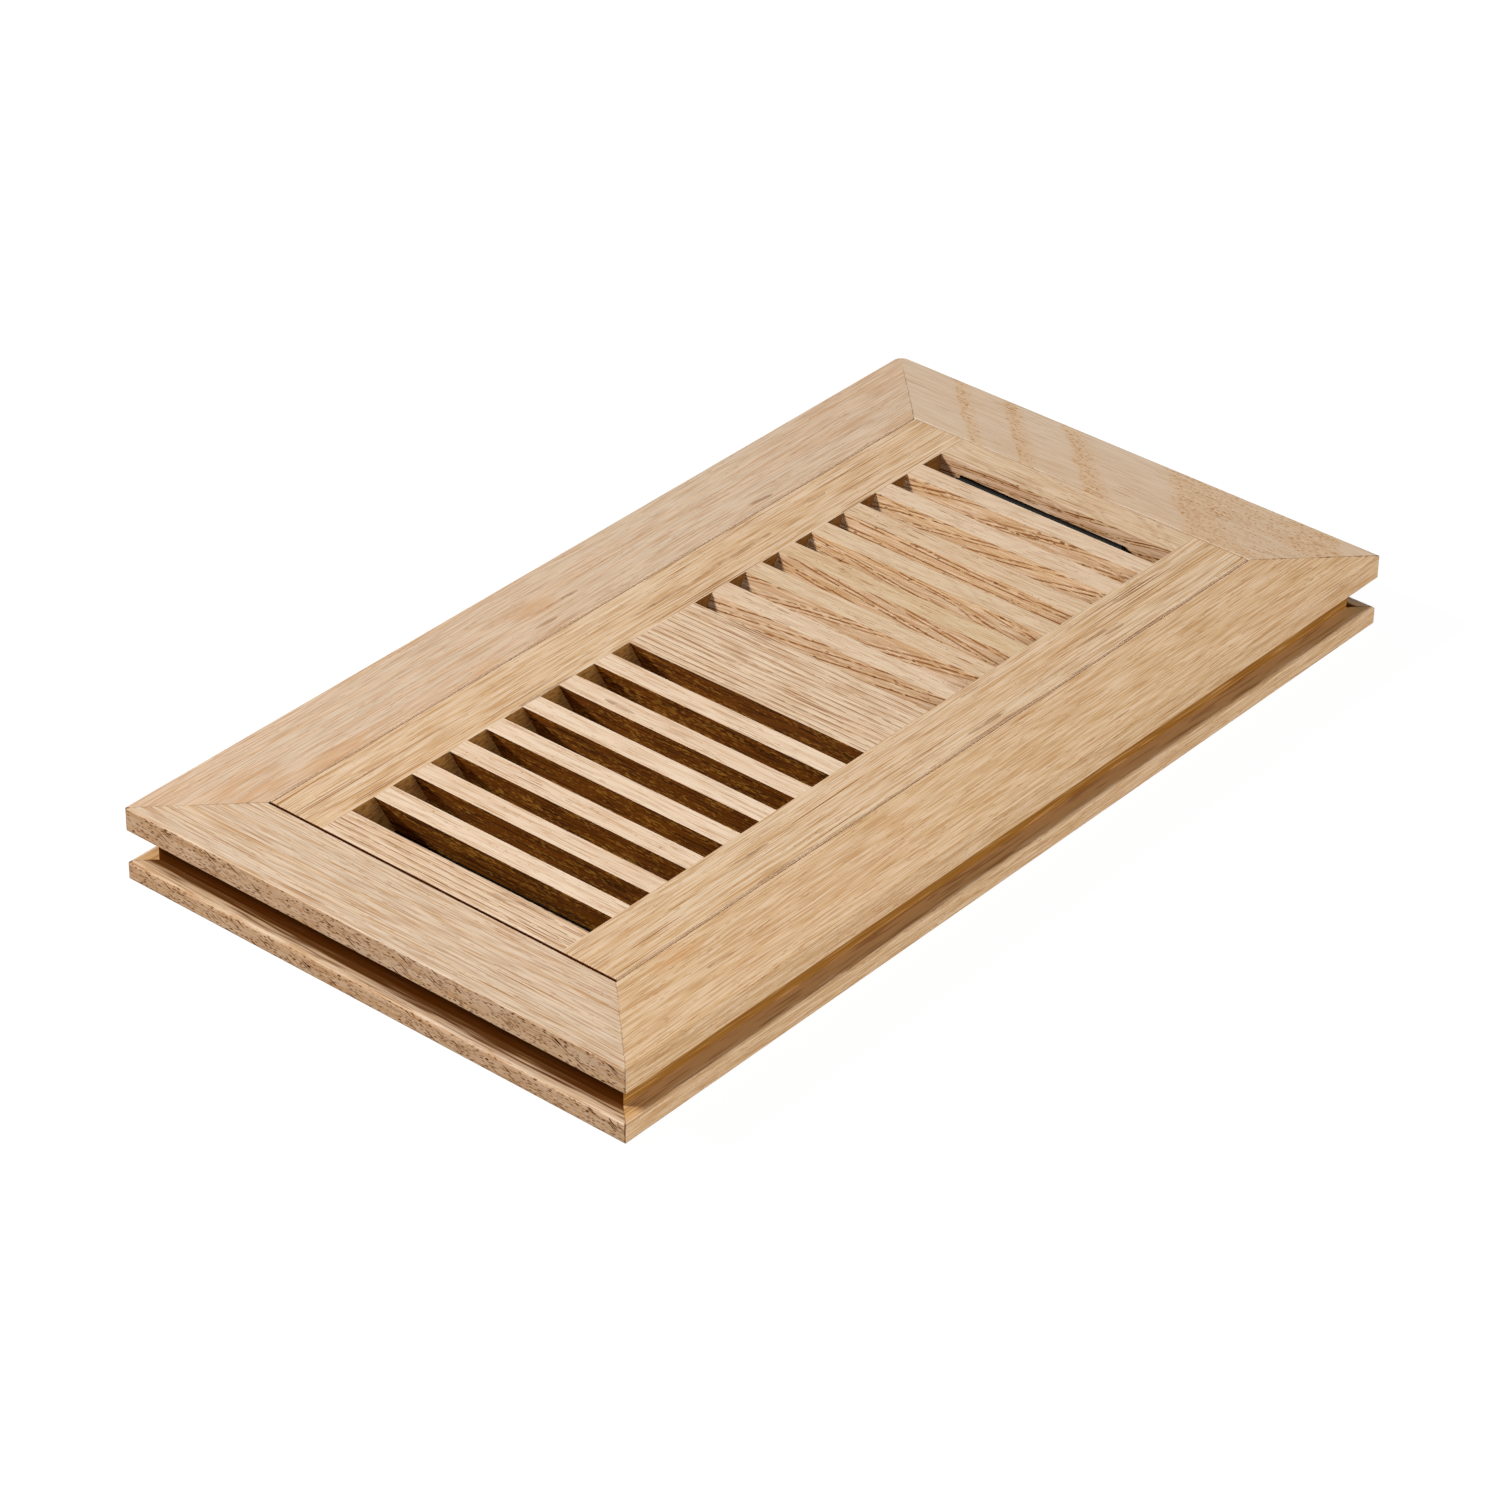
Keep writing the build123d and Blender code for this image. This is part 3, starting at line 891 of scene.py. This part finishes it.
def finish_piece(piece, name, body, material):
    """Names a new piece, gives it its steel and joins it to its body."""
    bpy.ops.object.select_all(action="DESELECT")
    piece.select_set(True)
    bpy.context.view_layer.objects.active = piece
    bpy.ops.object.shade_smooth_by_angle(angle=SMOOTH_ANGLE)
    piece.name = name
    piece.data.name = name
    piece.data.materials.append(material)
    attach(piece, body)


def model_screw(sizes):
    """A pan-head screw, head down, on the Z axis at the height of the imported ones."""
    low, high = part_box("guide_screws")
    seat = low.z + sizes.head_height
    bpy.ops.object.select_all(action="DESELECT")
    bpy.ops.mesh.primitive_cylinder_add(
        vertices=SCREW_SIDES, radius=sizes.head_radius, depth=sizes.head_height,
        location=(0.0, 0.0, (low.z + seat) / 2),
    )
    screw = bpy.context.object
    bpy.ops.object.transform_apply()
    bpy.ops.object.mode_set(mode="EDIT")
    select_parts("FACE", lambda face: face.normal.z > LEVEL)
    bpy.ops.mesh.inset(thickness=sizes.head_radius - sizes.shank_radius)
    extrude_selected((0.0, 0.0, high.z - sizes.tip_length - seat))
    extrude_selected((0.0, 0.0, sizes.tip_length))
    point = (POINT_SHARE, POINT_SHARE, 1.0)
    bpy.ops.transform.resize(value=point, center_override=(0.0, 0.0, high.z))
    select_parts("EDGE", at_height(low.z))
    bpy.ops.mesh.bevel(offset=sizes.crown, segments=4, affect="EDGES")
    bpy.ops.object.mode_set(mode="OBJECT")
    return screw


def cut_cross(screw, sizes):
    """Cuts the driver's cross into the crown of a screw."""
    crown = Vector((0.0, 0.0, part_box("guide_screws")[0].z))
    length, width = sizes.recess_length / 2, sizes.recess_width / 2
    for half_x, half_y in ((length, width), (width, length)):
        reach = Vector((half_x, half_y, sizes.recess_depth))
        cutter = add_block(crown - reach, crown + reach)
        bpy.context.view_layer.objects.active = screw
        cut = screw.modifiers.new("cross", "BOOLEAN")
        cut.object = cutter
        bpy.ops.object.modifier_apply(modifier=cut.name)
        bpy.data.objects.remove(cutter)


def copy_screw(screw, place, turn):
    """A copy of a screw, with a mesh of its own, set down at a place."""
    bpy.ops.object.select_all(action="DESELECT")
    screw.select_set(True)
    bpy.context.view_layer.objects.active = screw
    bpy.ops.object.duplicate(linked=False)
    copy = bpy.context.object
    copy.location = place
    copy.rotation_euler.z = turn
    bpy.ops.object.transform_apply()
    return copy


class FLOOR_REGISTER_OT_screws(bpy.types.Operator):
    """Model the screws that hold the damper's guides"""
    bl_idname = "floor_register.screws"
    bl_label = "Guide Screws"

    def execute(self, context):
        sizes = context.scene.damper_sizes
        low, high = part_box("guide_screws")
        radius = sizes.head_radius
        zinc = plated_steel("screw_zinc")
        screw = model_screw(sizes)
        cut_cross(screw, sizes)
        columns = (low.x + radius, (low.x + high.x) / 2, high.x - radius)
        places = [(x, y, 0.0) for x in columns for y in (low.y + radius, high.y - radius)]
        for number, place in enumerate(places, 1):
            copy = copy_screw(screw, place, SCREW_TURN * number)
            finish_piece(copy, f"guide_screw_{number}", "register", zinc)
            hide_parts("guide_screws")
        bpy.data.objects.remove(screw)
        return {"FINISHED"}


def model_hem(sizes):
    """The folded edge over the top of the damper's finger tab."""
    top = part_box("damper_plate")[1].z
    inner = TAB_OUTER_FACE - 2 * sizes.sheet
    fold = TAB_OUTER_FACE - sizes.sheet
    crest = top + sizes.sheet
    hem = add_block(Vector((inner, TAB_FRONT, top)), Vector((TAB_OUTER_FACE, TAB_BACK, crest)))
    bpy.ops.object.mode_set(mode="EDIT")
    bpy.ops.mesh.select_all(action="SELECT")
    bpy.ops.mesh.bisect(plane_co=(fold, 0.0, 0.0), plane_no=(1.0, 0.0, 0.0))
    select_parts("FACE", lambda face: face.normal.z < -LEVEL and face.calc_center_median().x < fold)
    extrude_selected((0.0, 0.0, -sizes.hem_height))
    on_crest = at_height(crest)
    select_parts("EDGE", lambda edge: on_crest(edge) and abs(edge.verts[0].co.x - fold) > TOUCH)
    bpy.ops.mesh.bevel(offset=HEM_ROUNDING * sizes.sheet, segments=5, affect="EDGES")
    bpy.ops.object.mode_set(mode="OBJECT")
    return hem


class FLOOR_REGISTER_OT_damper(bpy.types.Operator):
    """Fold the finger tab's edge, and give the damper and its guides their steel"""
    bl_idname = "floor_register.damper"
    bl_label = "Damper"

    def execute(self, context):
        paint = painted_steel()
        dress("damper_plate", paint)
        hem = model_hem(context.scene.damper_sizes)
        finish_piece(hem, "damper_tab_hem", "damper", paint)
        zinc = plated_steel("guide_zinc")
        for node_name in ("damper_guide_front", "damper_guide_back"):
            dress(node_name, zinc)
        return {"FINISHED"}


# The floor: its reach and its drop below the register, in metres, and how far inside the outline the
# painted duct shade and the opening for light from below start
FLOOR_REACH = 3.0
FLOOR_DROP = 0.0001
DUCT_MARGIN = 0.035
LIGHT_MARGIN = 2 * MILLIMETRE

# Its tone in bounced light, its glow to the camera, the share that takes shadow, and the painted
# shade of the duct
FLOOR_BOUNCE = 0.3
FLOOR_GLOW = 1.06
SHADOW_SHARE = 0.1
PAINTED_DUCT_SHADE = 0.01

# Lamps and camera: distance, sizes and depth of view in metres, and the sensor in millimetres
LAMP_DISTANCE = 2.4
KEY_DIRECTION = Vector((-0.52, 0.6, 0.6))
KEY_SIZE = 0.4
FILL_DIRECTION = Vector((-0.12, -0.95, 0.28))
FILL_SIZE = 1.8
SENSOR_WIDTH = 36.0
VIEW_DEPTH = 100.0


def grey(value):
    """A plain grey, 1 for white, with its alpha."""
    return value, value, value, 1.0


def seen_directly(wire):
    """1 for what the camera sees, plainly or in a reflection or through glass."""
    path = wire.node("LightPath", output="Is Camera Ray")
    for kind in ("Is Glossy Ray", "Is Transmission Ray"):
        path = path.math("MAXIMUM", path, wire.node("LightPath", output=kind))
    return path


def under_register(floor, margin):
    """1 on the floor under the register, but for a margin inside its outline."""
    x, y, _ = split(floor.node("TexCoord", output="Object"))
    half_length = CAD_BOX[1].x - margin
    half_width = CAD_BOX[1].y - margin
    past_end = smooth(abs(x), half_length, half_length + MILLIMETRE)
    past_side = smooth(abs(y), half_width, half_width + MILLIMETRE)
    return (1 - past_end) * (1 - past_side)


def floor_material():
    """White floor with painted shade for the duct under the register, which keeps a soft shadow.

    It vanishes from below, and there it also lets light through to the register's underside.
    """
    material, floor = new_material("studio_floor")
    bounce = floor.node("BsdfDiffuse", inputs={"Color": grey(FLOOR_BOUNCE)})
    shaded = floor.node("BsdfDiffuse", inputs={"Color": grey(1.0)})
    glow = floor.node("Emission", inputs={"Color": grey(1.0), "Strength": FLOOR_GLOW})
    white = floor.node("MixShader", inputs={0: SHADOW_SHARE, 1: glow, 2: shaded})
    lit = floor.node("MixShader", inputs={0: seen_directly(floor), 1: bounce, 2: white})
    # Painted shade: a near-black patch stands in for the duct opening under the register
    dark = floor.node("BsdfDiffuse", inputs={"Color": grey(PAINTED_DUCT_SHADE)})
    paved = floor.node("MixShader", inputs={0: under_register(floor, DUCT_MARGIN), 1: lit, 2: dark})
    clear = floor.node("BsdfTransparent")
    below = floor.node("NewGeometry", output="Backfacing")
    unseen = 1 - floor.node("LightPath", output="Is Camera Ray")
    open_floor = below.math("MAXIMUM", below, unseen * under_register(floor, LIGHT_MARGIN))
    shown = floor.node("MixShader", inputs={0: open_floor, 1: paved, 2: clear})
    floor.node("OutputMaterial", inputs={"Surface": shown})
    return material


def add_floor():
    """Wide plane just under the register."""
    bpy.ops.object.select_all(action="DESELECT")
    bpy.ops.mesh.primitive_plane_add(size=2 * FLOOR_REACH, location=(0.0, 0.0, -FLOOR_DROP))
    floor = bpy.context.object
    floor.name = "studio_floor"
    floor.data.materials.append(floor_material())


def add_world(studio):
    """White to the camera, and a plain even light on the object."""
    world = bpy.data.worlds.new("studio")
    world.use_nodes = True
    world.node_tree.nodes.clear()
    sky = Wire(world.node_tree)
    seen = seen_directly(sky)
    _, _, height = split(sky.node("TexCoord", output="Generated"))
    light = (1 - smooth(height, -0.2, 0.0)) * studio.underlight + studio.ambient
    strength = seen + (1 - seen) * light
    backdrop = sky.node("Background", inputs={"Color": grey(1.0), "Strength": strength})
    sky.node("OutputWorld", inputs={"Surface": backdrop})
    bpy.context.scene.world = world


def add_lamp(name, direction, share, size):
    """Square lamp that lights a facing white surface to the given share of white."""
    place = direction.normalized() * LAMP_DISTANCE
    bpy.ops.object.light_add(type="AREA", location=place)
    lamp = bpy.context.object
    lamp.name = name
    lamp.rotation_euler = place.to_track_quat("Z", "Y").to_euler()
    lamp.data.size = size
    lamp.data.energy = share * math.pi ** 2 * LAMP_DISTANCE ** 2


def add_camera(studio):
    """Camera at the photograph's point of view."""
    place, target = Vector(studio.camera_place), Vector(studio.camera_target)
    bpy.ops.object.camera_add(location=place)
    camera = bpy.context.object
    aim = (target - place).to_track_quat("-Z", "Y").to_matrix().to_4x4()
    roll = Matrix.Rotation(studio.camera_roll, 4, "Z")
    camera.matrix_world = Matrix.Translation(place) @ aim @ roll
    camera.data.lens = studio.camera_lens
    camera.data.sensor_width = SENSOR_WIDTH
    camera.data.clip_end = VIEW_DEPTH
    bpy.context.scene.camera = camera


class FLOOR_REGISTER_OT_studio(bpy.types.Operator):
    """Add the floor, the lights and the camera"""
    bl_idname = "floor_register.studio"
    bl_label = "Studio"

    def execute(self, context):
        studio = context.scene.register_studio
        add_floor()
        add_world(studio)
        add_lamp("key_lamp", KEY_DIRECTION, studio.key, KEY_SIZE)
        add_lamp("fill_lamp", FILL_DIRECTION, studio.fill, FILL_SIZE)
        add_camera(studio)
        context.scene.view_settings.view_transform = "Standard"
        return {"FINISHED"}


class VIEW3D_PT_floor_register(bpy.types.Panel):
    """Lists the register's settings and the steps that finish it"""
    bl_label = "Floor Register"
    bl_space_type = "VIEW_3D"
    bl_region_type = "UI"
    bl_category = "Register"

    def draw(self, context):
        layout = self.layout
        scene = context.scene
        for operator in OPERATORS:
            layout.operator(operator.bl_idname)
        for group in (scene.oak_tones, scene.grain_sizes, scene.damper_sizes, scene.register_studio):
            box = layout.box()
            for name in group.__annotations__:
                box.prop(group, name)


OPERATORS = (
    FLOOR_REGISTER_OT_frame_boards,
    FLOOR_REGISTER_OT_insert,
    FLOOR_REGISTER_OT_slats,
    FLOOR_REGISTER_OT_damper,
    FLOOR_REGISTER_OT_screws,
    FLOOR_REGISTER_OT_studio,
)
CLASSES = (OakTones, GrainSizes, DamperSizes, StudioSettings, *OPERATORS, VIEW3D_PT_floor_register)


def register():
    for cls in CLASSES:
        bpy.utils.register_class(cls)
    bpy.types.Scene.oak_tones = PointerProperty(type=OakTones)
    bpy.types.Scene.grain_sizes = PointerProperty(type=GrainSizes)
    bpy.types.Scene.damper_sizes = PointerProperty(type=DamperSizes)
    bpy.types.Scene.register_studio = PointerProperty(type=StudioSettings)


def unregister():
    del bpy.types.Scene.register_studio
    del bpy.types.Scene.damper_sizes
    del bpy.types.Scene.grain_sizes
    del bpy.types.Scene.oak_tones
    for cls in reversed(CLASSES):
        bpy.utils.unregister_class(cls)


def main():
    register()
    bpy.ops.floor_register.frame_boards()
    bpy.ops.floor_register.insert()
    bpy.ops.floor_register.slats()
    bpy.ops.floor_register.damper()
    bpy.ops.floor_register.screws()
    bpy.ops.floor_register.studio()


if __name__ == "__main__":
    main()
